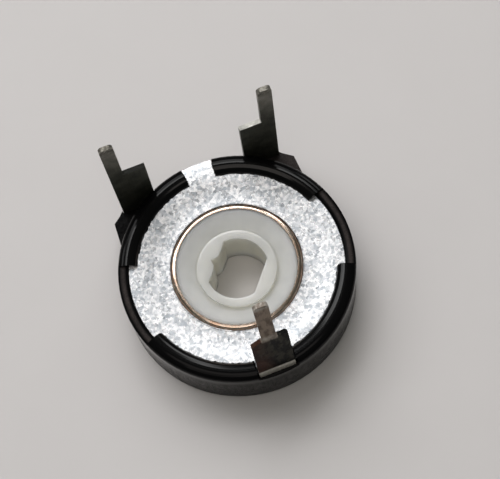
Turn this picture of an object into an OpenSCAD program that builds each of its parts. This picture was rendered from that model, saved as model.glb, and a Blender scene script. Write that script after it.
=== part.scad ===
// Rotary trimmer potentiometer with a 15 mm body.
// It lies on its front face: the cover plate and the three terminals point up, along +Z.
// The origin is on the rotor's axis, in the plane of the housing's foot. +Y points to the two end terminals.

/* [Body] */
// Diameter of the moulded housing
body_d = 15; // [14.5:0.25:17]
// Height from the foot to the crest of the rolled rim
body_h = 4.2; // [4:0.1:5.5]
// Thickness of the floor
floor_t = 0.8; // [0.7:0.05:0.9]
// Thickness of the side wall round the inner chamber
wall_t = 1.05; // [0.95:0.05:1.15]
// Thickness of the side wall beside the cover plate
lip_wall_t = 0.67; // [0.55:0.01:0.75]
// How far the side wall rises above the cover plate between the rim segments
wall_rise = 0.12; // [0.05:0.01:0.25]
// Chamfer round the foot
foot_chamfer = 0.25; // [0.1:0.05:0.4]

/* [Rolled rim] */
// Height of the rim's crest above the cover plate
rim_h = 0.42; // [0.3:0.02:0.6]
// How far the rim reaches in over the cover plate
rim_cover = 0.52; // [0.4:0.02:0.7]
// Radius of the rim segments' ends, seen from above
rim_end_round = 0.3; // [0.2:0.05:0.5]
// Gap in the rim between the end terminals, in degrees
gap_rear = 16; // [12:1:24]
// Gap in the rim at each side, in degrees
gap_side = 43; // [30:1:60]

/* [Cover plate] */
// Thickness of the cover plate
plate_t = 0.5; // [0.4:0.05:0.6]

/* [Rotor] */
// Diameter of the shaft that the rotor takes
shaft_d = 4; // [3.6:0.1:4.2]
// Distance from the axis to the flat in the rotor's hole
flat_x = 1.6; // [1.4:0.05:1.7]
// Distance from the axis to the two grip ribs opposite the flat
rib_r = 1.5; // [1.4:0.05:1.6]
// Outer diameter of the raised ring round the hole
hub_d = 5.04; // [4.9:0.02:5.4]
// Depth of the hub ring's top below the cover plate
hub_drop = 0.34; // [0.2:0.02:0.5]
// Depth of the dish's deepest point below the cover plate
dish_drop = 0.6; // [0.5:0.02:0.8]
// Outer diameter of the rotor's rim
lip_d = 7.64; // [7.5:0.02:7.8]
// Height of the rotor's rim above the cover plate
lip_rise = 0.06; // [0:0.02:0.2]
// Diameter of the rotor's journal in the floor
journal_d = 6.6; // [6.2:0.1:6.8]
// Direction of the hole's flat at rest, in degrees from +X
rest_turn = -40; // [-60:5:-20]
// Whole turn between the stops, in degrees
travel = 264; // [240:2:270]

/* [Wiper] */
// Thickness of the copper collar round the rotor
collar_t = 0.3; // [0.2:0.02:0.34]
// Height of the collar above the cover plate
collar_rise = 0.12; // [0.05:0.01:0.25]
// Thickness of the wiper's spring sheet
spring_t = 0.2; // [0.15:0.01:0.25]

/* [Resistor] */
// Thickness of the phenolic base
base_t = 0.6; // [0.5:0.05:0.7]
// Thickness of the printed track and end pads
film_t = 0.04; // [0.03:0.01:0.06]
// Direction of the rivets, in degrees from +Y
rivet_turn = 28; // [27:0.5:29]

/* [Terminals] */
// Distance between the two end pins
pin_pitch = 10; // [9.6:0.1:10.4]
// Width of a pin
pin_w = 0.9; // [0.8:0.05:1]
// Width of an end terminal's blade
blade_w = 2.33; // [2.2:0.01:2.5]
// Thickness of the terminal sheet
sheet_t = 0.3; // [0.25:0.01:0.35]
// Height of the end terminals' shoulders above the cover plate
shoulder_h = 3.98; // [3:0.1:5]
// Length of an end pin beyond its shoulder
pin_len = 4.2; // [3:0.1:5]
// Width of the centre terminal's blade
centre_w = 2.35; // [2.1:0.05:2.4]
// Length of the centre terminal's blade, from its heel to its shoulders
centre_len = 4.3; // [3.8:0.1:5]
// Length of the centre pin beyond its shoulders
centre_pin_len = 4; // [3:0.1:4.5]
// Inward lean of the centre terminal, in degrees
centre_lean = 12; // [0:1:15]

/* [Hidden] */

$fn = 96;
// Overlap of two joined solids, and of a cutter that ends near a face
eps = 0.05;
// Overrun of a cutter that ends in the open
over = 1;

// Clearances
run_gap = 0.06;
plate_gap = 0.1;
fit_gap = 0.03;
part_gap = 0.15;
slot_gap = 0.05;
contact_gap = 0.02;

// Radii of the housing, the cover plate and the rotor
body_r = body_d / 2;
chamber_r = body_r - wall_t;
seat_r = body_r - lip_wall_t;
plate_r = seat_r - fit_gap;
lip_r = lip_d / 2;
hub_r = hub_d / 2;
shaft_r = shaft_d / 2;
journal_r = journal_d / 2;
bore_r = journal_r + run_gap;
collar_in_r = lip_r + fit_gap;
collar_r = collar_in_r + collar_t;
hole_r = collar_r + plate_gap;
drum_r = collar_r;
// Share of the room between the drum and the wall that the stop lug fills
lug_share = 0.217;
lug_r = drum_r + lug_share * (chamber_r - drum_r);
rim_in_r = plate_r - rim_cover;
rim_mid_r = (rim_in_r + body_r) / 2;
rim_half_w = (body_r - rim_in_r) / 2;

// Levels, counted up from the foot
plate_z = body_h - rim_h;
seat_z = plate_z - plate_t;
wall_z = plate_z + wall_rise;
base_z = floor_t;
film_z = base_z + base_t;
foot_z = film_z + film_t;
head_z = foot_z + sheet_t;
rivet_head_t = 0.22;
ear_rise = 0.46;
ear_z = head_z + ear_rise;
drum_z = head_z + rivet_head_t + part_gap;
hub_z = plate_z - hub_drop;
dish_z = plate_z - dish_drop;
lip_z = plate_z + lip_rise;
shoulder_z = plate_z + shoulder_h;

// Resistor base, track and pads
base_in_r = lug_r + plate_gap;
base_r = chamber_r - slot_gap;
film_margin = 0.15;
track_in_r = base_in_r + film_margin;
track_r = base_r - film_margin;
track_w = track_r - track_in_r;
eye_r = (base_r - base_in_r) / 2;
// The pads' ends, counted in degrees from +Y
pad_end = 46;

// Rivets, in proportion to the eyes that they hold
rivet_at_r = (base_in_r + base_r) / 2;
rivet_head_r = 0.93 * eye_r;
rivet_shank_r = 0.48 * eye_r;
rivet_bore_r = rivet_shank_r / 2;
rivet_dome_r = min(0.8 * rivet_head_t, (rivet_head_r - rivet_bore_r) / 2);

// Stop rib between the end terminals, and the rotor's lug that meets it
stop_w = 2;
stop_in_r = drum_r + part_gap;
stop_turn = asin(stop_w / 2 / stop_in_r);
stop_spare = 0.4;
lug_turn = 180 - travel / 2 - stop_turn - stop_spare;
key_turn = 7;

// Reach of the wiper's tongues under the cover plate, and of the centre terminal's foot
tongue_in = 0.35;
tongue_l = 0.75;
tongue_r = hole_r + tongue_in;
tongue_end_r = tongue_r + tongue_l;
centre_foot_r = tongue_end_r + part_gap;

// End terminals: their place on +X, mirrored for the left one
blade_out_x = pin_pitch / 2 + pin_w / 2;
blade_in_x = blade_out_x - blade_w;
blade_front_y = sqrt(pow(body_r, 2) - pow(blade_in_x, 2));
blade_back_y = blade_front_y + sheet_t;
bend_r = 0.15;
pad_y = blade_front_y - bend_r / 2 - slot_gap;
tip_round = 0.3;
// Depth of the foot's two edges behind the blade
foot_out_l = 0.7;
foot_in_l = 0.35;

// Ear: its corner's place from the blade's outer edge, and where its side leaves the wall
ear_out = 0.82;
ear_back = 0.58;
ear_turn = 30.7;
ear_corner = [blade_out_x + ear_out, blade_front_y - ear_back];

// Centre terminal
heel_in = 0.33;
heel_y = -(body_r - heel_in);
heel_r = bend_r + sheet_t;
heel_axis_y = heel_y + heel_r;
pocket_gap = 0.13;
pocket_skin_z = plate_z - slot_gap;
// How far the blade's left shoulder falls to its corner, and the cut of its right corner
shoulder_fall = 0.35;
shoulder_cut = 0.14;

function polar(r, a) = [r * cos(a), r * sin(a)];
function arc(c, r, a0, a1, n = 6) = [for (i = [0:n]) c + polar(r, a0 + (a1 - a0) * i / n)];
// Direction from c in which a line from p touches a circle of radius r round c, on side s
function touch(c, r, p, s) = atan2(p[1] - c[1], p[0] - c[0]) + s * acos(r / norm(p - c));

// A flat shape in the Y-Z plane, given a width along X and centred on it
module rib_x(w) {
    translate([-w / 2, 0, 0]) rotate([90, 0, 90]) linear_extrude(w) children();
}

// A ring sector between two directions
module ring_sector(r0, r1, a0, a1) {
    n = 24;
    polygon(concat(arc([0, 0], r1, a0, a1, n), arc([0, 0], r0, a1, a0, n)));
}

// Housing: a black moulded cup, its rim rolled over the cover plate in four segments

// The rim's section is the upper half of an ellipse, as wide as the rim and as high
module shell() {
    steps = 16;
    rotate_extrude() polygon(concat(
        [[bore_r, 0], [body_r - foot_chamfer, 0], [body_r, foot_chamfer]],
        [for (i = [0:steps]) [rim_mid_r + rim_half_w * cos(180 * i / steps), plate_z + rim_h * sin(180 * i / steps)]],
        [[seat_r, plate_z], [seat_r, seat_z], [chamber_r, seat_z], [chamber_r, floor_t], [bore_r, floor_t]]
    ));
}

// Outline of a gap in the rim from above, flared at its four corners to round the segments' ends
module gap_outline(a0, a1) {
    c = rim_end_round;
    ro = body_r + plate_gap;
    ri = rim_in_r - plate_gap;
    out = asin(c / (ro - c));
    in = asin(c / (ri + c));
    polygon(concat(
        [polar(ro + over, a0 - 2 * out), polar(ro, a0 - out)],
        arc(polar(ro - c, a0 - out), c, a0 - out, a0 + 90),
        arc(polar(ri + c, a0 - in), c, a0 + 90, a0 - in + 180),
        [polar(ri - over, a0), polar(ri - over, a1)],
        arc(polar(ri + c, a1 + in), c, a1 + in - 180, a1 - 90),
        arc(polar(ro - c, a1 + out), c, a1 - 90, a1 + out),
        [polar(ro + over, a1 + 2 * out), polar(ro / cos((a1 - a0) / 2) + over, (a0 + a1) / 2)]
    ));
}

module rim_gap(middle, width) {
    a0 = middle - width / 2;
    a1 = middle + width / 2;
    translate([0, 0, wall_z]) linear_extrude(body_h) gap_outline(a0, a1);
    translate([0, 0, plate_z]) linear_extrude(body_h) intersection() {
        gap_outline(a0, a1);
        circle(r = seat_r);
    }
}

// The ear at an end terminal: a pad behind the blade, a cheek at its outer edge
// and a lower shelf under the terminal's foot
module ear() {
    side = polar(body_r - eps, ear_turn);
    inner = polar(chamber_r + wall_t / 2, 45);
    in_x = blade_in_x - slot_gap;
    out_x = blade_out_x + slot_gap;
    root_y = blade_front_y - wall_t / 2;
    linear_extrude(ear_z) polygon([
        [in_x, root_y], [in_x, blade_front_y], [out_x, blade_front_y], ear_corner,
        side, inner
    ]);
    linear_extrude(head_z) polygon([
        [in_x, root_y], [in_x, blade_back_y], [out_x, blade_back_y], ear_corner, inner
    ]);
}

module stop_rib() {
    intersection() {
        translate([-stop_w / 2, stop_in_r, floor_t - eps]) cube([stop_w, body_r, drum_z - part_gap - floor_t + eps]);
        cylinder(r = chamber_r + eps, h = body_h);
    }
}

module housing() {
    foot_gap_z = foot_z - slot_gap / 2;
    color([0.06, 0.06, 0.065]) {
        difference() {
            union() {
                shell();
                for (s = [0, 1]) mirror([s, 0, 0]) ear();
            }
            for (s = [0, 1]) mirror([s, 0, 0]) {
                // Window in the wall for the terminal's foot
                translate([0, 0, foot_gap_z]) linear_extrude(sheet_t + slot_gap) foot_outline(slot_gap);
                // Room for the blade behind the ear's pad
                translate([blade_in_x - slot_gap, pad_y, foot_gap_z])
                    cube([blade_w + 2 * slot_gap, body_r, body_h]);
                // Pocket in the floor for the rivet's lower head
                translate(concat(rivet_at(), floor_t - rivet_head_t - slot_gap))
                    cylinder(r = rivet_head_r + slot_gap, h = floor_t);
            }
            // Pocket for the centre terminal's foot and heel, through the rim, with a thin skin of wall outside
            translate([-centre_w / 2 - pocket_gap, heel_y - pocket_gap, seat_z - sheet_t - slot_gap / 2])
                cube([centre_w + 2 * pocket_gap, body_r / 2, body_h]);
            translate([-centre_w / 2 - pocket_gap, -body_r - eps, pocket_skin_z])
                cube([centre_w + 2 * pocket_gap, body_r / 2, body_h]);
            // Gap between the end terminals, cut down through the wall for the cover plate's tab
            translate([0, 0, seat_z - slot_gap]) linear_extrude(body_h)
                gap_outline(90 - gap_rear / 2, 90 + gap_rear / 2);
            for (middle = [0, 180]) rim_gap(middle, gap_side);
        }
        stop_rib();
    }
}

// Cover plate: a zinc-plated steel washer that closes the chamber and carries the wiper's current.
// Its tab lies in the wall's rear gap and keeps it from turning.

module cover_plate() {
    notch_w = centre_w + 2 * part_gap;
    tab_r = body_r - slot_gap;
    tab_turn = gap_rear / 2 - asin(slot_gap / seat_r);
    color([0.78, 0.79, 0.8]) translate([0, 0, seat_z]) difference() {
        union() {
            cylinder(r = plate_r, h = plate_t);
            intersection() {
                cylinder(r = tab_r, h = plate_t);
                linear_extrude(plate_t) polygon([[0, 0], polar(body_d, 90 - tab_turn), polar(body_d, 90 + tab_turn)]);
            }
        }
        translate([0, 0, -eps]) cylinder(r = hole_r, h = plate_t + 2 * eps);
        translate([-notch_w / 2, heel_axis_y + part_gap - body_r, -eps]) cube([notch_w, body_r, plate_t + 2 * eps]);
    }
}

// Terminals: tinned strip, folded up outside the wall

// Place of the right rivet
function rivet_at() = polar(rivet_at_r, 90 - rivet_turn);

// Foot of the right terminal from above, grown all round by g for the window in the wall:
// a round eye with two edges that leave it at a tangent
module foot_outline(g = 0) {
    c = rivet_at();
    inner = [blade_in_x - g, blade_front_y - foot_in_l];
    outer = [blade_out_x + g, blade_front_y - foot_out_l];
    polygon(concat(
        arc(c, eye_r + g, touch(c, eye_r + g, inner, 1), 360 + touch(c, eye_r + g, outer, -1), 12),
        [outer, [outer[0], blade_front_y + bend_r], [inner[0], blade_front_y + bend_r], inner]
    ));
}

// A pin's rounded tip, from its right side over to its left, in the blade's plane
function pin_tip(x, high) = concat(
    arc([x + pin_w / 2 - tip_round, high - tip_round], tip_round, 0, 90, 4),
    arc([x - pin_w / 2 + tip_round, high - tip_round], tip_round, 90, 180, 4)
);

// Section of the fold: the foot comes in from the left and the blade leaves upwards
module fold_section(top) {
    out_r = bend_r + sheet_t;
    x = blade_front_y - bend_r;
    polygon(concat(
        [[x - eps, foot_z], [x, foot_z]],
        arc([x, foot_z + out_r], out_r, -90, 0),
        [[x + out_r, top], [x + bend_r, top]],
        arc([x, foot_z + out_r], bend_r, 0, -90),
        [[x - eps, foot_z + sheet_t]]
    ));
}

module end_terminal() {
    top = foot_z + 2 * (bend_r + sheet_t);
    tip_z = shoulder_z + pin_len;
    pin_in_x = blade_out_x - pin_w;
    color([0.34, 0.33, 0.29]) {
        difference() {
            translate([0, 0, foot_z]) linear_extrude(sheet_t) intersection() {
                foot_outline();
                translate([0, -body_d]) square([body_d, body_d + blade_front_y - bend_r]);
            }
            translate(concat(rivet_at(), 0)) cylinder(r = rivet_shank_r + fit_gap, h = body_h);
        }
        translate([blade_in_x + blade_w / 2, 0, 0]) rib_x(blade_w) fold_section(top);
        translate([0, blade_back_y, 0]) rotate([90, 0, 0]) linear_extrude(sheet_t) polygon(concat([
            [blade_in_x, top - eps], [blade_out_x, top - eps]
        ], pin_tip((pin_in_x + blade_out_x) / 2, tip_z), [
            [pin_in_x, shoulder_z], [blade_in_x, shoulder_z]
        ]));
    }
}

module right_terminal() end_terminal();

module left_terminal() mirror([1, 0, 0]) end_terminal();

// The centre terminal's foot is clamped under the cover plate, and its blade leans in over it
module centre_terminal() {
    y = -heel_axis_y;
    z = seat_z - sheet_t + heel_r;
    tip_l = centre_len + centre_pin_len;
    color([0.3, 0.28, 0.25]) {
        mirror([0, 1, 0]) rib_x(centre_w) polygon(concat(
            [[centre_foot_r, seat_z], [centre_foot_r, seat_z - sheet_t]],
            arc([y, z], heel_r, -90, centre_lean, 8),
            arc([y, z], bend_r, centre_lean, -90, 8)
        ));
        translate([0, -y, z]) rotate([-centre_lean, 0, 0]) translate([0, -bend_r, -eps]) rotate([90, 0, 0])
            linear_extrude(sheet_t) polygon(concat([
                [-centre_w / 2, 0], [centre_w / 2, 0], [centre_w / 2, centre_len - shoulder_cut],
                [centre_w / 2 - shoulder_cut, centre_len], [pin_w / 2, centre_len]
            ], pin_tip(0, tip_l), [
                [-pin_w / 2, centre_len], [-centre_w / 2, centre_len - shoulder_fall]
            ]));
    }
}

// Rivets: short eyelets that clamp a foot, its pad and the resistor base together

module rivet() {
    low = base_z - rivet_head_t;
    high = head_z + rivet_head_t;
    dome = [rivet_head_r - rivet_dome_r, high - rivet_dome_r];
    color([0.62, 0.58, 0.45]) translate(concat(rivet_at(), 0)) rotate_extrude() polygon(concat(
        [[rivet_bore_r, low], [rivet_head_r, low], [rivet_head_r, base_z], [rivet_shank_r, base_z],
         [rivet_shank_r, head_z], [rivet_head_r, head_z]],
        arc(dome, rivet_dome_r, 0, 90, 5),
        [[rivet_bore_r, high]]
    ));
}

module right_rivet() rivet();

module left_rivet() mirror([1, 0, 0]) rivet();

// Resistor: a phenolic base, open at the stop rib, with a printed carbon track and two end pads

module rivet_holes(r) {
    for (s = [0, 1]) mirror([s, 0, 0]) translate(rivet_at()) circle(r = r);
}

module resistor_base() {
    color([0.42, 0.27, 0.16]) translate([0, 0, base_z]) linear_extrude(base_t) difference() {
        circle(r = base_r);
        circle(r = base_in_r);
        translate([-stop_w / 2 - slot_gap, 0]) square([stop_w + 2 * slot_gap, body_r]);
        rivet_holes(rivet_shank_r + fit_gap);
    }
}

module carbon_track() {
    rear = 90;
    color([0.09, 0.09, 0.1]) translate([0, 0, film_z]) linear_extrude(film_t)
        ring_sector(track_in_r, track_r, rear + pad_end, rear + 360 - pad_end);
}

// Pad under the right terminal's foot, cut clear of the stop rib
module end_pad() {
    inner = asin((stop_w / 2 + part_gap) / track_in_r);
    color([0.66, 0.66, 0.64]) translate([0, 0, film_z]) linear_extrude(film_t) difference() {
        ring_sector(track_in_r, track_r, 90 - pad_end, 90 - inner);
        rivet_holes(rivet_shank_r + fit_gap);
    }
}

module right_pad() end_pad();

module left_pad() mirror([1, 0, 0]) end_pad();

// Rotor: a white moulded drum with a D hole right through, a dished face and a stop lug

// Section of the hole: the flat on +X, and opposite it two grip ribs with a notch between them.
// A rib is given by its radii and by its directions from the notch's middle.
module socket_outline() {
    notch_r = rib_r + 0.48 * (shaft_r - rib_r);
    slope_r = rib_r + 0.32 * (shaft_r - rib_r);
    crest_start = 11;
    crest_end = 20;
    slope_end = 33;
    rib_end = 46;
    difference() {
        circle(r = shaft_r);
        translate([flat_x, -shaft_r]) square([shaft_r, shaft_d]);
        for (s = [-1, 1]) polygon([
            polar(notch_r, 180), polar(rib_r, 180 + s * crest_start), polar(rib_r, 180 + s * crest_end),
            polar(slope_r, 180 + s * slope_end), polar(shaft_r + eps, 180 + s * rib_end),
            polar(shaft_r + 2 * eps, 180 + s * rib_end / 2), polar(shaft_r + eps, 180)
        ]);
    }
}

module rotor() {
    low = floor_t + slot_gap;
    lip_w = 0.2;
    groove_w = 0.14;
    color([0.86, 0.87, 0.86]) rotate([0, 0, rest_turn]) difference() {
        union() {
            rotate_extrude() polygon([
                [0, slot_gap], [journal_r, slot_gap], [journal_r, low], [drum_r, low],
                [drum_r, drum_z], [lip_r, drum_z], [lip_r, lip_z], [lip_r - lip_w, lip_z],
                [hub_r + groove_w, dish_z], [hub_r, dish_z], [hub_r, hub_z], [0, hub_z]
            ]);
            translate([0, 0, low]) linear_extrude(drum_z - low)
                ring_sector(drum_r - eps, lug_r, -lug_turn, lug_turn);
            translate([0, 0, drum_z - eps]) linear_extrude(spring_t + eps)
                ring_sector(lip_r - eps, lug_r, -key_turn, key_turn);
        }
        translate([0, 0, -eps]) linear_extrude(body_h) socket_outline();
    }
}

// Wiper: copper-alloy sheet pressed onto the rotor, with two fingers on the track
// and three tongues against the cover plate

module wiper() {
    // Directions counted from the flat: the web's two sides and the three tongues
    web_start = 44;
    web_end = 52;
    tongue_turns = [110, 180, 250];
    tongue_w = 0.9;
    finger_l = 1.2;
    finger_w = 0.31 * track_w;
    toe = 0.3;
    middle_r = (track_in_r + track_r) / 2;
    arm_r = [middle_r - 0.28 * track_w, middle_r + 0.28 * track_w];
    top = drum_z + spring_t;
    track_z = foot_z + contact_gap;
    touch_z = seat_z - contact_gap;
    end_z = touch_z - plate_gap;
    edge_z = plate_z + collar_rise;
    edge_w = 0.8 * collar_t;
    edge_h = 0.7 * collar_t;
    color([0.72, 0.45, 0.3]) rotate([0, 0, rest_turn]) {
        difference() {
            // Flange and collar, the collar's outer edge drawn over in a quarter of an ellipse
            rotate_extrude() polygon(concat(
                [[collar_in_r, drum_z], [lug_r, drum_z], [lug_r, top], [collar_r, top]],
                [for (i = [0:6]) [collar_r - edge_w * (1 - cos(15 * i)), edge_z - edge_h * (1 - sin(15 * i))]],
                [[collar_in_r, edge_z]]
            ));
            translate([0, 0, drum_z - eps]) linear_extrude(spring_t + 2 * eps)
                ring_sector(collar_in_r - eps, lug_r + eps, -key_turn - 1, key_turn + 1);
        }
        // Web and the two arms that carry the fingers round over the track
        translate([0, 0, drum_z]) linear_extrude(spring_t) {
            ring_sector(lug_r - eps, arm_r[1] + finger_w / 2, web_start, web_end);
            for (r = arm_r)
                ring_sector(r - finger_w / 2, r + finger_w / 2, asin((finger_l - eps) / r), web_end);
        }
        for (r = arm_r) translate([r, 0, 0]) rib_x(finger_w) polygon([
            [finger_l + eps, drum_z], [finger_l + eps, top], [finger_l, top],
            [0, track_z + spring_t], [-toe, track_z + spring_t + toe],
            [-toe - spring_t / 2, track_z + toe], [0, track_z], [finger_l, drum_z]
        ]);
        for (a = tongue_turns) rotate([0, 0, a]) rotate([90, 0, 0])
            translate([0, 0, -tongue_w / 2]) linear_extrude(tongue_w) polygon([
                [lug_r - tongue_in, drum_z], [lug_r - tongue_in, top], [lug_r, top],
                [tongue_r + tongue_in, touch_z], [tongue_end_r, end_z], [tongue_end_r, end_z - spring_t],
                [tongue_r + tongue_in, touch_z - spring_t], [lug_r + spring_t / 2, drum_z]
            ]);
    }
}

housing();
cover_plate();
centre_terminal();
left_terminal();
right_terminal();
left_rivet();
right_rivet();
resistor_base();
carbon_track();
left_pad();
right_pad();
rotor();
wiper();
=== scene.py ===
import math

import bpy
from mathutils import Matrix, Vector


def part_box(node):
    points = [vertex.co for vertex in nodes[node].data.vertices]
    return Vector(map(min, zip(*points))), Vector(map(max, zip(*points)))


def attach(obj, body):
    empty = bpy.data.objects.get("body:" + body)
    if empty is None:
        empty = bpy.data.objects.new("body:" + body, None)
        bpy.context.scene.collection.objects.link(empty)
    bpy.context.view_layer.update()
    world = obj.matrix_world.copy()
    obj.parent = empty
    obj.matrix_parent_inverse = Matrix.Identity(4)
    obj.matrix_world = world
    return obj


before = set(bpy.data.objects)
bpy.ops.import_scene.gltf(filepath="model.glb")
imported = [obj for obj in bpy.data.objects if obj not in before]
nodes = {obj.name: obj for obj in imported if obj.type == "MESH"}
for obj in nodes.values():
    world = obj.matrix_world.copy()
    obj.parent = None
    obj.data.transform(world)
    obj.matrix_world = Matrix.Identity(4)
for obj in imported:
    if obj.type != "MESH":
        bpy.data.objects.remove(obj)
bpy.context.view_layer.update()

# Housing. A cup moulded in black thermoset, glossy on the crest of the rim, where the hot tool
# rolled it over the cover plate, and duller on the ledge outside it, the ears and the side wall,
# which carries fine upright drag marks and is paler in streaks towards its foot.
mm = 0.001
housing_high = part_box("housing")[1]
wall_r = housing_high.y
rim_top = housing_high.z


def new_material(name):
    """An empty node material; gives back the material, its node tree and its Principled shader."""
    material = bpy.data.materials.new(name)
    material.use_nodes = True
    tree = material.node_tree
    tree.nodes.clear()
    shader = tree.nodes.new("ShaderNodeBsdfPrincipled")
    output = tree.nodes.new("ShaderNodeOutputMaterial")
    tree.links.new(shader.outputs["BSDF"], output.inputs["Surface"])
    return material, tree, shader


def dress(material, *names):
    """Gives those CAD nodes that material as their only one."""
    for name in names:
        nodes[name].data.materials.clear()
        nodes[name].data.materials.append(material)


def add(tree, kind, **settings):
    """A node of that kind; a setting named after one of its sockets sets the socket."""
    node = tree.nodes.new(kind)
    for key, value in settings.items():
        socket = node.inputs.get(key.replace("_", " "))
        if socket is not None and not hasattr(node, key):
            socket.default_value = value
        else:
            setattr(node, key, value)
    return node


def feed(tree, value, socket):
    """Sets a socket from another socket, a number or a colour."""
    if isinstance(value, (int, float)):
        socket.default_value = value
    elif isinstance(value, tuple):
        socket.default_value = (*value, 1)
    else:
        tree.links.new(value, socket)


def scaled(tree, source, low, high, from_low=0.0, from_high=1.0):
    """A value mapped from one span to another, and held inside it."""
    node = tree.nodes.new("ShaderNodeMapRange")
    node.inputs["From Min"].default_value = from_low
    node.inputs["From Max"].default_value = from_high
    node.inputs["To Min"].default_value = low
    node.inputs["To Max"].default_value = high
    tree.links.new(source, node.inputs["Value"])
    return node.outputs["Result"]


def combine(tree, operation, a, b):
    """Two values, each a socket or a number, put through one Math node."""
    node = add(tree, "ShaderNodeMath", operation=operation)
    feed(tree, a, node.inputs[0])
    feed(tree, b, node.inputs[1])
    return node.outputs["Value"]


def product(tree, *values):
    """Values, each a socket or a number, multiplied together."""
    out = values[0]
    for value in values[1:]:
        out = combine(tree, "MULTIPLY", out, value)
    return out


def blend_colours(tree, amount, a, b):
    """Colour a turning into colour b as amount goes from 0 to 1; each is a socket or a colour."""
    node = add(tree, "ShaderNodeMix", data_type="RGBA")
    # A Mix node's sockets for colours: 0 is the amount, 6 and 7 are the colours, and 2 comes out
    feed(tree, amount, node.inputs[0])
    feed(tree, a, node.inputs[6])
    feed(tree, b, node.inputs[7])
    return node.outputs[2]


def bump(tree, height, strength, distance):
    """A Bump node over a height socket; distance is in metres."""
    node = add(tree, "ShaderNodeBump", Strength=strength, Distance=distance)
    tree.links.new(height, node.inputs["Height"])
    return node.outputs["Normal"]


def part_axes(tree):
    """The X, Y and Z of a point in the part's own frame, as sockets by name."""
    place = add(tree, "ShaderNodeTexCoord")
    axes = add(tree, "ShaderNodeSeparateXYZ")
    tree.links.new(place.outputs["Object"], axes.inputs["Vector"])
    return axes.outputs


def node_group(name, kind, inputs, output):
    """A node group with those inputs, each (name, socket type, value), and that output, (name,
    socket type); gives back the group, the sockets of its input node and its output's socket."""
    group = bpy.data.node_groups.new(name, kind)
    for label, socket_type, value in inputs:
        socket = group.interface.new_socket(label, in_out="INPUT", socket_type=socket_type)
        if value is not None:
            socket.default_value = value
    group.interface.new_socket(output[0], in_out="OUTPUT", socket_type=output[1])
    given = group.nodes.new("NodeGroupInput").outputs if inputs else None
    result = group.nodes.new("NodeGroupOutput").inputs[output[0]]
    return group, given, result


def placed(tree, group, output, **values):
    """A node group placed in a material, with its inputs set by name; gives back that output."""
    node = add(tree, "ShaderNodeGroup", node_tree=group)
    for key, value in values.items():
        node.inputs[key].default_value = value
    return node.outputs[output]


# Shared by every finish: mottling that is the same at any size of part, from Object coordinates
mottle, given, result = node_group("mottle", "ShaderNodeTree", [
    ("Size", "NodeSocketFloat", 0.5 * mm),
    ("Stretch", "NodeSocketVector", (1, 1, 1)),
    ("Detail", "NodeSocketFloat", 3.0),
    ("Contrast", "NodeSocketFloat", 1.0),
], ("Value", "NodeSocketFloat"))
middle_grey = 0.5
place = add(mottle, "ShaderNodeTexCoord")
stretched = add(mottle, "ShaderNodeVectorMath", operation="MULTIPLY")
sized = add(mottle, "ShaderNodeVectorMath", operation="SCALE")
per_size = add(mottle, "ShaderNodeMath", operation="DIVIDE")
per_size.inputs[0].default_value = 1
noise = add(mottle, "ShaderNodeTexNoise", Scale=1.0, Roughness=0.6)
centred = add(mottle, "ShaderNodeMath", operation="SUBTRACT")
centred.inputs[1].default_value = middle_grey
spread = add(mottle, "ShaderNodeMath", operation="MULTIPLY_ADD", use_clamp=True)
spread.inputs[2].default_value = middle_grey
link = mottle.links.new
link(place.outputs["Object"], stretched.inputs[0])
link(given["Stretch"], stretched.inputs[1])
link(stretched.outputs["Vector"], sized.inputs[0])
link(given["Size"], per_size.inputs[1])
link(per_size.outputs["Value"], sized.inputs["Scale"])
link(sized.outputs["Vector"], noise.inputs["Vector"])
link(given["Detail"], noise.inputs["Detail"])
link(noise.outputs["Fac"], centred.inputs[0])
link(centred.outputs["Value"], spread.inputs[0])
link(given["Contrast"], spread.inputs[1])
link(spread.outputs["Value"], result)


def mottled(tree, size, stretch=(1, 1, 1), detail=3.0, contrast=1.0):
    """The mottle group in a material: a value from 0 to 1 in patches of that size."""
    return placed(tree, mottle, "Value", Size=size, Stretch=stretch, Detail=detail, Contrast=contrast)


# Shared mask: 1 where a surface looks up along the part's own +Z, 0 where it leans away
upward, given, result = node_group("upward_faces", "ShaderNodeTree", [
    ("Low", "NodeSocketFloat", 0.9),
    ("High", "NodeSocketFloat", 0.99),
], ("Mask", "NodeSocketFloat"))
place = add(upward, "ShaderNodeTexCoord")
normal_parts = add(upward, "ShaderNodeSeparateXYZ")
lean_span = add(upward, "ShaderNodeMapRange")
link = upward.links.new
link(place.outputs["Normal"], normal_parts.inputs["Vector"])
link(normal_parts.outputs["Z"], lean_span.inputs["Value"])
link(given["Low"], lean_span.inputs["From Min"])
link(given["High"], lean_span.inputs["From Max"])
link(lean_span.outputs["Result"], result)


def facing_up(tree, low=0.9, high=0.99):
    """The upward_faces group in a material; low and high are the upward part of the normal."""
    return placed(tree, upward, "Mask", Low=low, High=high)


# Shared value: how far a point lies from the rotor's axis
axis_distance, _, result = node_group("axis_distance", "ShaderNodeTree", [], ("Distance", "NodeSocketFloat"))
place = add(axis_distance, "ShaderNodeTexCoord")
level = add(axis_distance, "ShaderNodeVectorMath", operation="MULTIPLY")
level.inputs[1].default_value = (1, 1, 0)
length = add(axis_distance, "ShaderNodeVectorMath", operation="LENGTH")
link = axis_distance.links.new
link(place.outputs["Object"], level.inputs[0])
link(level.outputs["Vector"], length.inputs[0])
link(length.outputs["Value"], result)


def from_axis(tree):
    """The axis_distance group in a material."""
    return placed(tree, axis_distance, "Distance")


black_moulding, tree, shader = new_material("black_moulding")
axes = part_axes(tree)
radius = from_axis(tree)
upwards = facing_up(tree)
drag = mottled(tree, 0.2 * mm, stretch=(1, 1, 0.2), contrast=3.0)
grain = mottled(tree, 0.07 * mm, contrast=2.5)
patches = mottled(tree, 1.3 * mm, contrast=2.0)
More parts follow.
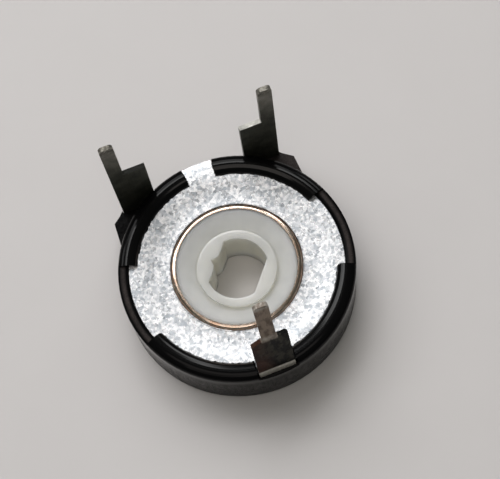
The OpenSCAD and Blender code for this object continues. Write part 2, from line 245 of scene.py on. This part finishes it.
# Heights: the wall is paler near its foot, less so up to the second height, its gloss comes in from
# there up to the third, and the step from the ledge up to the crest lies between the last two
pale_full, pale_end, gloss_full = 0.3 * mm, rim_top - 1.1 * mm, rim_top - 0.7 * mm
ledge_top, crest_foot = rim_top - 0.29 * mm, rim_top - 0.25 * mm
wall_low = scaled(tree, axes["Z"], 1, 0, pale_full, pale_end)
below_crest = scaled(tree, axes["Z"], 1, 0, ledge_top, crest_foot)
crest = combine(tree, "SUBTRACT", 1.0, below_crest)
# Painted sheen: a ring on the ledge and the top of the right terminal's ear are painted paler brown in
# flecks, where these flat tops catch the light
ring_inner = scaled(tree, radius, 0, 1, wall_r - 0.53 * mm, wall_r - 0.4 * mm)
ring_outer = scaled(tree, radius, 1, 0, wall_r - 0.3 * mm, wall_r - 0.12 * mm)
sheen_ring = product(tree, ring_inner, ring_outer)
ears = product(tree, scaled(tree, radius, 0, 1, wall_r, wall_r + 0.1 * mm), upwards)
right_ear = product(tree, ears, scaled(tree, axes["X"], 0, 1, 0, 1 * mm))
left_ear = combine(tree, "SUBTRACT", ears, right_ear)
sheen_top = product(tree, upwards, below_crest, combine(tree, "MAXIMUM", sheen_ring, right_ear))
flecks = product(tree, scaled(tree, grain, 0.3, 1), scaled(tree, patches, 0.3, 1))
clean_black, paler_black, sheen_brown = (0.003, 0.003, 0.0032), (0.04, 0.039, 0.039), (0.07, 0.058, 0.055)
# The wall is painted paler towards its foot, in streaks and patches
black = blend_colours(tree, product(tree, wall_low, drag, patches), clean_black, paler_black)
# Painted sheen on the ledge ring and the right ear's top, broken into flecks
black = blend_colours(tree, product(tree, sheen_top, flecks), black, sheen_brown)
tree.links.new(black, shader.inputs["Base Color"])
rough = combine(tree, "ADD", scaled(tree, patches, 0.07, 0.13), product(tree, wall_low, 0.25))
rough = combine(tree, "ADD", rough, product(tree, sheen_top, 0.3))
tree.links.new(rough, shader.inputs["Roughness"])
# Relief: drag marks on the wall, a faint grain all over, and the ledge rounded over to both
# sides of its middle, by that rate times a distance squared, per metre
drag_depth, grain_depth, rounding_rate = 0.03 * mm, 0.0006 * mm, -500.0
drag_marks = product(tree, wall_low, combine(tree, "ADD", drag, product(tree, grain, 0.6)), drag_depth)
from_middle = combine(tree, "SUBTRACT", radius, wall_r - 0.33 * mm)
rounding = product(tree, from_middle, from_middle, rounding_rate, upwards, below_crest)
relief = combine(tree, "ADD", combine(tree, "ADD", drag_marks, product(tree, grain, grain_depth)), rounding)
tree.links.new(bump(tree, relief, 1.0, 1.0), shader.inputs["Normal"])
# The gloss is a coat, which thins out over the wall, the left ear, the ledge and the outer slope
wall = scaled(tree, axes["Z"], 1, 0, pale_end, gloss_full)
dull_wall = product(tree, wall, scaled(tree, drag, 0.45, 1))
ledge_face = product(tree, upwards, below_crest, scaled(tree, radius, 1, 0, wall_r - 0.02 * mm, wall_r))
dull_ledge = product(tree, ledge_face, combine(tree, "SUBTRACT", 1.0, sheen_ring))
dull_slope = product(tree, scaled(tree, radius, 0, 0.75, wall_r - 0.6 * mm, wall_r - 0.5 * mm), crest)
dulled = combine(tree, "MAXIMUM", dull_wall, left_ear)
dulled = combine(tree, "MAXIMUM", dulled, dull_ledge)
dulled = combine(tree, "MAXIMUM", dulled, dull_slope)
tree.links.new(scaled(tree, dulled, 0.45, 0.03), shader.inputs["Coat Weight"])
shader.inputs["Coat Roughness"].default_value = 0.1
shader.inputs["Specular IOR Level"].default_value = 0.03
dress(black_moulding, "housing")

# Resistor. A phenolic-paper ring on the housing's floor, with a carbon track printed round
# it and a silver pad under each end terminal. It shows only through the rotor's gap and from
# the open sides of the terminal windows.


def ramp(tree, source, stops):
    """A colour ramp over a 0 to 1 value; stops are (place, colour)."""
    node = tree.nodes.new("ShaderNodeValToRGB")
    elements = node.color_ramp.elements
    while len(elements) < len(stops):
        elements.new(0.5)
    for element, (place, colour) in zip(elements, stops):
        element.position = place
        element.color = (*colour, 1)
    tree.links.new(source, node.inputs["Fac"])
    return node.outputs["Color"]


phenolic, tree, shader = new_material("phenolic")
fibre = mottled(tree, 0.25 * mm, stretch=(1, 0.2, 1), contrast=1.8)
paper = ramp(tree, fibre, [(0.2, (0.16, 0.075, 0.03)), (0.8, (0.3, 0.16, 0.075))])
tree.links.new(paper, shader.inputs["Base Color"])
tree.links.new(bump(tree, fibre, 0.3, 0.01 * mm), shader.inputs["Normal"])
shader.inputs["Roughness"].default_value = 0.55
dress(phenolic, "resistor_base")

carbon_film, tree, shader = new_material("carbon_film")
grit = mottled(tree, 0.04 * mm, contrast=2.0)
carbon = ramp(tree, grit, [(0.2, (0.008, 0.008, 0.009)), (0.8, (0.03, 0.03, 0.032))])
tree.links.new(carbon, shader.inputs["Base Color"])
tree.links.new(scaled(tree, grit, 0.45, 0.65), shader.inputs["Roughness"])
dress(carbon_film, "carbon_track")

silver_film, tree, shader = new_material("silver_film")
grit = mottled(tree, 0.06 * mm, contrast=2.0)
silver = ramp(tree, grit, [(0.2, (0.42, 0.41, 0.38)), (0.8, (0.68, 0.67, 0.64))])
tree.links.new(silver, shader.inputs["Base Color"])
tree.links.new(scaled(tree, grit, 0.35, 0.55), shader.inputs["Roughness"])
shader.inputs["Metallic"].default_value = 0.9
dress(silver_film, "left_pad", "right_pad")

# Rivets. Short brass eyelets, one for each end terminal. Each is spread at both ends and
# clamps the terminal's foot to its pad and the ring.
rivet_brass, tree, shader = new_material("rivet_brass")
tarnish = mottled(tree, 0.3 * mm, contrast=2.0)
brass = ramp(tree, tarnish, [(0.2, (0.36, 0.27, 0.13)), (0.8, (0.62, 0.5, 0.28))])
tree.links.new(brass, shader.inputs["Base Color"])
tree.links.new(scaled(tree, tarnish, 0.5, 0.25), shader.inputs["Roughness"])
shader.inputs["Metallic"].default_value = 1.0
dress(rivet_brass, "left_rivet", "right_rivet")

# End terminals. Brass strip, punched, folded upright and dipped in tin that has gone dark and
# blotchy. The tin is painted paler towards the pins' tips, a painted reflection, and is speckled
# at the tips. The top of the right one's shoulder is painted pale, and the left one's near-black.
dark_tin, tree, shader = new_material("dark_tin")
axes = part_axes(tree)
blotches = mottled(tree, 0.7 * mm, detail=4.0, contrast=2.4)
brushing = mottled(tree, 0.12 * mm, stretch=(1, 1, 0.08), contrast=2.0)
specks = mottled(tree, 0.14 * mm, contrast=5.0)
# Heights along a pin: its tin is painted paler from root to tip, a painted reflection, and specks come in
# near the tip
pin_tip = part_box("right_terminal")[1].z
pin_root = pin_tip - 4 * mm
specks_start, specks_full = pin_tip - 0.9 * mm, pin_tip - 0.3 * mm
dark_olive, pale_olive = (0.05, 0.053, 0.042), (0.1, 0.102, 0.082)
# Painted reflection: each pin is painted paler towards its tip, in blotches
tip_reflection = product(tree, scaled(tree, axes["Z"], 0, 1, pin_root, pin_tip), scaled(tree, blotches, 0.45, 1))
tin = ramp(tree, blotches, [(0.15, dark_olive), (0.85, pale_olive)])
tin = blend_colours(tree, tip_reflection, tin, (0.4, 0.38, 0.33))
speckled = product(tree, scaled(tree, axes["Z"], 0, 1, specks_start, specks_full), specks, 0.8)
tin = blend_colours(tree, speckled, tin, (0.05, 0.045, 0.035))
# Faces that look up below the tip are the shoulders' tops: painted pale on the right, near-black on the left
shoulder = facing_up(tree, 0.6, 0.9)
tip_start, tip_full = pin_tip - 1 * mm, pin_tip - 0.5 * mm
right_side = scaled(tree, axes["X"], 0, 1, -1 * mm, 1 * mm)
left_side = scaled(tree, axes["X"], 1, 0, -1 * mm, 1 * mm)
pale_height = scaled(tree, axes["Z"], 1, 0.1, tip_start, tip_full)
pale_shoulder = product(tree, shoulder, right_side, pale_height, scaled(tree, blotches, 0.25, 1))
tin = blend_colours(tree, pale_shoulder, tin, (0.62, 0.61, 0.57))
dark_shoulder = product(tree, shoulder, left_side, scaled(tree, axes["Z"], 1, 0, tip_start, tip_full))
tin = blend_colours(tree, dark_shoulder, tin, (0.012, 0.012, 0.01))
tree.links.new(tin, shader.inputs["Base Color"])
tree.links.new(scaled(tree, brushing, 0.38, 0.55), shader.inputs["Roughness"])
tree.links.new(bump(tree, brushing, 0.25, 0.008 * mm), shader.inputs["Normal"])
shader.inputs["Metallic"].default_value = 0.75
dress(dark_tin, "left_terminal", "right_terminal")

# Centre terminal. The same strip, clamped under the cover plate and bent in over it. Its
# blade is mottled brown and black, its pin is paler, and the fold at its heel is painted
# near-white and less metallic, a painted highlight where the bend catches the light.
mottled_tin, tree, shader = new_material("mottled_tin")
axes = part_axes(tree)
heel, pin_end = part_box("centre_terminal")
fold_z = heel.z + 1.0 * mm
shoulder_z = heel.z + 4.75 * mm
pin_half = 0.48 * mm
blotches = mottled(tree, 0.4 * mm, stretch=(1, 1, 0.5), detail=4.0, contrast=6.0)
stain = mottled(tree, 1.1 * mm, detail=2.0, contrast=2.5)
brushing = mottled(tree, 0.12 * mm, stretch=(1, 1, 0.08), contrast=2.0)
# The blade, rustier on its left
tin = ramp(tree, blotches, [(0.2, (0.001, 0.001, 0.001)), (0.9, (0.034, 0.032, 0.024))])
rust = product(tree, stain, scaled(tree, axes["X"], 1, 0, -0.9 * mm, 0.1 * mm))
tin = blend_colours(tree, rust, tin, (0.06, 0.022, 0.014))
# The pin, and a pale band across its root
pin_width = scaled(tree, combine(tree, "ABSOLUTE", axes["X"], 0.0), 1, 0, pin_half, pin_half + 0.08 * mm)
pin = product(tree, scaled(tree, axes["Z"], 0, 1, shoulder_z - 0.3 * mm, shoulder_z + 0.1 * mm), pin_width)
pin_tin = ramp(tree, blotches, [(0.2, (0.14, 0.105, 0.08)), (0.8, (0.27, 0.215, 0.17))])
tin = blend_colours(tree, pin, tin, pin_tin)
root = scaled(tree, axes["Z"], 1, 0, shoulder_z + 0.2 * mm, shoulder_z + 0.5 * mm)
band = product(tree, pin, root, scaled(tree, blotches, 0.35, 1))
tin = blend_colours(tree, band, tin, (0.42, 0.39, 0.34))
# The fold, painted pale as a painted highlight, and the worn tip
fold_highlight = scaled(tree, axes["Z"], 1, 0, fold_z, fold_z + 0.14 * mm)
tin = blend_colours(tree, product(tree, fold_highlight, scaled(tree, brushing, 0.7, 1)), tin, (0.85, 0.82, 0.75))
tip = scaled(tree, axes["Z"], 0, 1, pin_end.z - 0.45 * mm, pin_end.z - 0.2 * mm)
tin = blend_colours(tree, product(tree, tip, scaled(tree, blotches, 0.2, 0.9)), tin, (0.42, 0.4, 0.36))
tree.links.new(tin, shader.inputs["Base Color"])
tree.links.new(scaled(tree, brushing, 0.36, 0.52), shader.inputs["Roughness"])
tree.links.new(bump(tree, blotches, 0.5, 0.03 * mm), shader.inputs["Normal"])
# The painted highlight at the fold is also made less metallic
tree.links.new(scaled(tree, fold_highlight, 0.3, 0.1), shader.inputs["Metallic"])
shader.inputs["Specular IOR Level"].default_value = 0.1
dress(mottled_tin, "centre_terminal")

# Rotor. A drum moulded in milky white nylon, with a dished face, a raised ring round the D
# hole, and walls painted paler and warmer deep inside the hole, as painted light. Light goes a little way
# into it.
milky_white, tree, shader = new_material("milky_white")
axes = part_axes(tree)
bore_foot, bore_top = 1.0 * mm, 3.3 * mm
cloud = mottled(tree, 1.6 * mm, detail=2.0, contrast=1.6)
grain = mottled(tree, 0.08 * mm, contrast=1.5)
white = ramp(tree, cloud, [(0.2, (0.55, 0.553, 0.525)), (0.8, (0.62, 0.623, 0.59))])
# Painted light: the bore's walls are painted paler and warmer towards its foot
painted_bore_light = scaled(tree, axes["Z"], 1, 0, bore_foot, bore_top)
tree.links.new(blend_colours(tree, painted_bore_light, white, (0.8, 0.785, 0.7)), shader.inputs["Base Color"])
tree.links.new(scaled(tree, cloud, 0.42, 0.52), shader.inputs["Roughness"])
# Light that has gone through the nylon evens out the dish, so its normals are drawn upright.
# A Mix node's sockets for vectors: 0 is the amount, 4 and 5 are the vectors, and 1 comes out
evened = add(tree, "ShaderNodeMix", data_type="VECTOR")
tree.links.new(scaled(tree, facing_up(tree, 0.3, 0.8), 0, 0.9), evened.inputs[0])
tree.links.new(bump(tree, grain, 0.15, 0.01 * mm), evened.inputs[4])
evened.inputs[5].default_value = (0, 0, 1)
upright = add(tree, "ShaderNodeVectorMath", operation="NORMALIZE")
tree.links.new(evened.outputs[1], upright.inputs[0])
tree.links.new(upright.outputs["Vector"], shader.inputs["Normal"])
shader.inputs["Subsurface Weight"].default_value = 1.0
shader.inputs["Subsurface Radius"].default_value = (1.0, 0.95, 0.85)
shader.inputs["Subsurface Scale"].default_value = 3.0 * mm
shader.inputs["Specular IOR Level"].default_value = 0.3
dress(milky_white, "rotor")

# Wiper. Copper-alloy spring sheet, stamped and drawn into a collar that is pressed onto the
# rotor. Only the collar's polished edge shows, as a thin ring between the rotor and plate, and
# its drawn side is matt.
spring_copper, tree, shader = new_material("spring_copper")
edge_r, side_r = 4.06 * mm, 4.12 * mm
tarnish = mottled(tree, 0.6 * mm, contrast=2.0)
brushing = mottled(tree, 0.06 * mm, contrast=2.0)
copper = ramp(tree, tarnish, [(0.2, (0.86, 0.6, 0.45)), (0.8, (1.0, 0.85, 0.72))])
tree.links.new(copper, shader.inputs["Base Color"])
drawn_side = scaled(tree, from_axis(tree), 0, 0.35, edge_r, side_r)
rough = combine(tree, "ADD", scaled(tree, brushing, 0.13, 0.24), drawn_side)
tree.links.new(rough, shader.inputs["Roughness"])
shader.inputs["Metallic"].default_value = 1.0
dress(spring_copper, "wiper")

# Cover plate. A punched washer of zinc-dipped steel. The zinc has a fine spangle: small flat
# crystals, each with its own tint and its own dullness. The rolled rim clamps it.
zinc_spangle, tree, shader = new_material("zinc_spangle")
crystals_per_metre, warps_per_metre, warp_reach = 4600.0, 3200.0, 0.35 * mm
place = add(tree, "ShaderNodeTexCoord")
warp = add(tree, "ShaderNodeTexNoise", Scale=warps_per_metre, Detail=3.0)
shift = add(tree, "ShaderNodeVectorMath", operation="MULTIPLY_ADD")
crystals = add(tree, "ShaderNodeTexVoronoi", Scale=crystals_per_metre, Randomness=1.0)
tree.links.new(place.outputs["Object"], warp.inputs["Vector"])
tree.links.new(warp.outputs["Color"], shift.inputs[0])
shift.inputs[1].default_value = (warp_reach, warp_reach, warp_reach)
tree.links.new(place.outputs["Object"], shift.inputs[2])
tree.links.new(shift.outputs["Vector"], crystals.inputs["Vector"])
tint = add(tree, "ShaderNodeSeparateColor")
tree.links.new(crystals.outputs["Color"], tint.inputs["Color"])
patches = mottled(tree, 0.22 * mm, detail=3.0, contrast=3.0)
crystal_tints = [(0.0, (0.4, 0.43, 0.465)), (0.4, (0.85, 0.855, 0.87)), (1.0, (1.0, 0.985, 0.985))]
zinc = ramp(tree, tint.outputs["Red"], crystal_tints)
zinc = blend_colours(tree, scaled(tree, patches, 0.8, 0, 0.1, 0.7), zinc, (0.38, 0.41, 0.44))
tree.links.new(zinc, shader.inputs["Base Color"])
tree.links.new(scaled(tree, tint.outputs["Green"], 0.22, 0.42), shader.inputs["Roughness"])
# The clamped plate is a little dished: its normals lean in by up to some 5 degrees, and come
# upright again under the rim. Heights are these rates times a distance squared, per metre
hole_r, dish_end_r = 4.25 * mm, 5.65 * mm
dish_rate, droop_rate, crystal_depth = 32.0, -66.0, 0.0022 * mm
radius = from_axis(tree)
from_hole = combine(tree, "MAXIMUM", combine(tree, "SUBTRACT", radius, hole_r), 0.0)
past_dish = combine(tree, "MAXIMUM", combine(tree, "SUBTRACT", radius, dish_end_r), 0.0)
dishing = product(tree, from_hole, from_hole, dish_rate)
droop = product(tree, past_dish, past_dish, droop_rate)
relief = combine(tree, "ADD", combine(tree, "ADD", dishing, droop), product(tree, patches, crystal_depth))
tree.links.new(bump(tree, relief, 1.0, 1.0), shader.inputs["Normal"])
shader.inputs["Metallic"].default_value = 0.7
dress(zinc_spangle, "cover_plate")

# Rim flash. Where the hot rim was rolled over the plate, a little of the moulding was squeezed
# out: a thin ragged lip lies along the rim's inner edge, and more of it fills the slots
# beside the centre terminal.
bead, given, result = node_group("ragged_bead", "GeometryNodeTree", [
    ("Geometry", "NodeSocketGeometry", None),
    ("Step", "NodeSocketFloat", 0.05 * mm),
    ("Thickness", "NodeSocketFloat", 0.05 * mm),
    ("Thin Share", "NodeSocketFloat", 0.3),
    ("Lump Size", "NodeSocketFloat", 0.3 * mm),
    ("Wander", "NodeSocketFloat", 0.05 * mm),
    ("Seed", "NodeSocketFloat", 1.0),
    ("Material", "NodeSocketMaterial", None),
], ("Geometry", "NodeSocketGeometry"))
to_curve = add(bead, "GeometryNodeMeshToCurve")
resample = add(bead, "GeometryNodeResampleCurve", mode="LENGTH")
position = add(bead, "GeometryNodeInputPosition")
per_lump = add(bead, "ShaderNodeMath", operation="DIVIDE")
per_lump.inputs[0].default_value = 1
sized = add(bead, "ShaderNodeVectorMath", operation="SCALE")
noise = add(bead, "ShaderNodeTexNoise", noise_dimensions="4D", Scale=1.0, Detail=3.0)
about_nought = add(bead, "ShaderNodeVectorMath", operation="SUBTRACT")
about_nought.inputs[1].default_value = (middle_grey, middle_grey, middle_grey)
wander = add(bead, "ShaderNodeVectorMath", operation="SCALE")
move = add(bead, "GeometryNodeSetPosition")
# The noise from which a bead starts to swell, and at which it is as thick as it gets
swell = add(bead, "ShaderNodeMapRange")
swell.inputs["From Min"].default_value = 0.45
swell.inputs["From Max"].default_value = 0.65
profile = add(bead, "GeometryNodeCurvePrimitiveCircle", Resolution=8)
to_mesh = add(bead, "GeometryNodeCurveToMesh", Fill_Caps=True)
realize = add(bead, "GeometryNodeRealizeInstances")
set_material = add(bead, "GeometryNodeSetMaterial")
link = bead.links.new
link(given["Geometry"], to_curve.inputs["Mesh"])
link(to_curve.outputs["Curve"], resample.inputs["Curve"])
link(given["Step"], resample.inputs["Length"])
link(given["Lump Size"], per_lump.inputs[1])
link(position.outputs["Position"], sized.inputs[0])
link(per_lump.outputs["Value"], sized.inputs["Scale"])
link(sized.outputs["Vector"], noise.inputs["Vector"])
link(given["Seed"], noise.inputs["W"])
link(noise.outputs["Color"], about_nought.inputs[0])
link(about_nought.outputs["Vector"], wander.inputs[0])
link(given["Wander"], wander.inputs["Scale"])
link(resample.outputs["Curve"], move.inputs["Geometry"])
link(wander.outputs["Vector"], move.inputs["Offset"])
link(noise.outputs["Fac"], swell.inputs["Value"])
link(given["Thin Share"], swell.inputs["To Min"])
link(given["Thickness"], profile.inputs["Radius"])
link(move.outputs["Geometry"], to_mesh.inputs["Curve"])
link(profile.outputs["Curve"], to_mesh.inputs["Profile Curve"])
link(swell.outputs["Result"], to_mesh.inputs["Scale"])
link(to_mesh.outputs["Mesh"], realize.inputs["Geometry"])
link(realize.outputs["Geometry"], set_material.inputs["Geometry"])
link(given["Material"], set_material.inputs["Material"])
link(set_material.outputs["Geometry"], result)


def arc_points(r, start, end, z):
    """Points of an arc about the rotor's axis, about a degree apart; angles in degrees from +X."""
    steps = max(2, round(abs(end - start)))
    turns = [math.radians(start + (end - start) * i / steps) for i in range(steps + 1)]
    return [(r * math.cos(a), r * math.sin(a), z) for a in turns]


def ragged_bead(name, strands, slot, **values):
    """A piece of the case made of ragged beads that follow those strands of points."""
    points, edges = [], []
    for strand in strands:
        edges += [(i, i + 1) for i in range(len(points), len(points) + len(strand) - 1)]
        points += strand
    mesh = bpy.data.meshes.new(name)
    mesh.from_pydata(points, edges, [])
    piece = bpy.data.objects.new(name, mesh)
    bpy.context.scene.collection.objects.link(piece)
    modifier = piece.modifiers.new(name, "NODES")
    modifier.node_group = bead
    for item in bead.interface.items_tree:
        value = values.get(item.name.replace(" ", "_").lower())
        if item.in_out == "INPUT" and value is not None:
            modifier[item.identifier] = value
    evaluated = piece.evaluated_get(bpy.context.evaluated_depsgraph_get())
    plain = bpy.data.meshes.new_from_object(evaluated)
    piece.modifiers.remove(modifier)
    piece.data = plain
    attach(piece, "case")


plate_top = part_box("cover_plate")[1].z
# Where each rolled segment of the rim starts and ends, in degrees from +X
rim_segments = ((22, 82), (98, 158), (202, 257.5), (282.5, 338))
lip_r = 6.29 * mm
lips = [arc_points(lip_r, start, end, plate_top) for start, end in rim_segments]
ragged_bead("rim_flash", lips, "black_moulding", step=0.05 * mm, thickness=0.07 * mm, thin_share=0.25,
            lump_size=0.28 * mm, wander=0.08 * mm, seed=3.0, material=black_moulding)
slot_x, slot_in_y, slot_out_y = 1.27 * mm, -6.13 * mm, -6.95 * mm
fillings = [[(x, slot_in_y, plate_top), (x, slot_out_y, plate_top)] for x in (-slot_x, slot_x)]
ragged_bead("slot_flash", fillings, "black_moulding", step=0.03 * mm, thickness=0.12 * mm, thin_share=0.9,
            lump_size=0.15 * mm, wander=0.02 * mm, seed=5.0, material=black_moulding)

# Plate burr. The punch that cut the plate's hole left a fine burr of zinc standing on its edge,
# heavier on the side towards the left terminal, where the punch stood closest to the die. It is
# one metal with the plate.
burr_r, heavy_burr_r = 4.235 * mm, 4.205 * mm
burrs = [arc_points(burr_r, 0, 360, plate_top), arc_points(heavy_burr_r, 30, 245, plate_top + 0.01 * mm)]
ragged_bead("plate_burr", burrs, "zinc_plate", step=0.05 * mm, thickness=0.04 * mm, thin_share=0.6,
            lump_size=0.2 * mm, wander=0.01 * mm, seed=8.0, material=zinc_spangle)

# Table. A pale, plain, slightly warm board that the part lies on. It isn't part of the object,
# and reaches well past the picture on every side.
table_mesh = bpy.data.meshes.new("table")
reach = 1.5
corners = [(-reach, -reach, 0), (reach, -reach, 0), (reach, reach, 0), (-reach, reach, 0)]
table_mesh.from_pydata(corners, [], [(0, 1, 2, 3)])
table = bpy.data.objects.new("table", table_mesh)
bpy.context.scene.collection.objects.link(table)
pale_board, tree, shader = new_material("pale_board")
shade = mottled(tree, 6 * mm, detail=2.0)
board = ramp(tree, shade, [(0.0, (0.55, 0.535, 0.53)), (1.0, (0.57, 0.555, 0.55))])
tree.links.new(board, shader.inputs["Base Color"])
shader.inputs["Roughness"].default_value = 0.6
table_mesh.materials.append(pale_board)

# Camera. It stands where the photograph's did: above the part and a little in front of it,
# rolled to the right. The numbers come from fitting the rim, the plate and the terminals.
plate_z = 3.78 * mm
unit = 0.968 * mm
distance, tilt, roll, turn = 90.737, math.radians(70.075), math.radians(-11.189), math.radians(-10.452)
side_shift, rise_shift = -0.868, -1.730
focal_pixels, photo_pixels, sensor_width = 1400, 500, 36
back = Vector((0, -math.cos(tilt), math.sin(tilt)))
level, rise = Vector((1, 0, 0)), Vector((0, math.sin(tilt), math.cos(tilt)))
right = math.cos(roll) * level + math.sin(roll) * rise
up = math.cos(roll) * rise - math.sin(roll) * level
spin = Matrix.Rotation(turn, 3, "Z")
eye = spin @ (distance * back - side_shift * right - rise_shift * up) * unit + Vector((0, 0, plate_z))
right, up, back = spin @ right, spin @ up, spin @ back
camera_data = bpy.data.cameras.new("camera")
camera_data.lens = focal_pixels / photo_pixels * sensor_width
camera_data.sensor_width = sensor_width
camera_data.clip_start = 0.005
camera_data.clip_end = 10
camera = bpy.data.objects.new("camera", camera_data)
camera.matrix_world = Matrix((
    (right.x, up.x, back.x, eye.x),
    (right.y, up.y, back.y, eye.y),
    (right.z, up.z, back.z, eye.z),
    (0, 0, 0, 1)))
bpy.context.scene.collection.objects.link(camera)
bpy.context.scene.camera = camera

# Light. Soft windows behind the part, to its left, which also throw the soft shadow to the
# lower right, a lamp high up in front of it, a wide pale ceiling, and a dim, even room.
ahead = Vector((-back.x, -back.y, 0)).normalized()
across = Vector((ahead.y, -ahead.x, 0))


def window(name, azimuth, height, width, tall, power, away=0.5, mirrored=True, colour=(1, 1, 1)):
    """A soft rectangular light of that width and tallness in metres and power in watts.
    Its azimuth is counted to the right from straight ahead of the camera, in degrees, and its
    height from the horizon. One that isn't mirrored lights the part but doesn't show in its
    glossy surfaces."""
    a, h = math.radians(azimuth), math.radians(height)
    towards = (math.cos(a) * ahead + math.sin(a) * across) * math.cos(h) + Vector((0, 0, math.sin(h)))
    data = bpy.data.lights.new(name, "AREA")
    data.shape = "RECTANGLE"
    data.size = width
    data.size_y = tall
    data.energy = power
    data.color = colour
    lamp = bpy.data.objects.new(name, data)
    lamp.location = towards * away
    lamp.rotation_mode = "QUATERNION"
    lamp.rotation_quaternion = towards.to_track_quat("Z", "Y")
    lamp.visible_glossy = mirrored
    bpy.context.scene.collection.objects.link(lamp)


window("window_behind", azimuth=-15, height=46, width=0.9, tall=0.11, power=1.1)
window("skylight", azimuth=-15, height=61, width=0.3, tall=0.1, power=0.42)
window("overhead", azimuth=200, height=77, width=0.36, tall=0.26, power=0.4, colour=(1, 0.92, 0.86))
window("window_key", azimuth=-20, height=52, width=0.5, tall=0.5, power=1.4, mirrored=False,
       colour=(1, 0.965, 0.98))
window("ceiling", azimuth=0, height=90, width=1.2, tall=1.2, power=1.1, away=0.8, mirrored=False,
       colour=(0.97, 1, 0.93))
room = bpy.data.worlds.new("room")
room.use_nodes = True
room_light = room.node_tree.nodes["Background"].inputs
room_light["Color"].default_value = (0.95, 1.0, 0.9, 1)
room_light["Strength"].default_value = 0.06
bpy.context.scene.world = room
bpy.context.scene.view_settings.view_transform = "Standard"
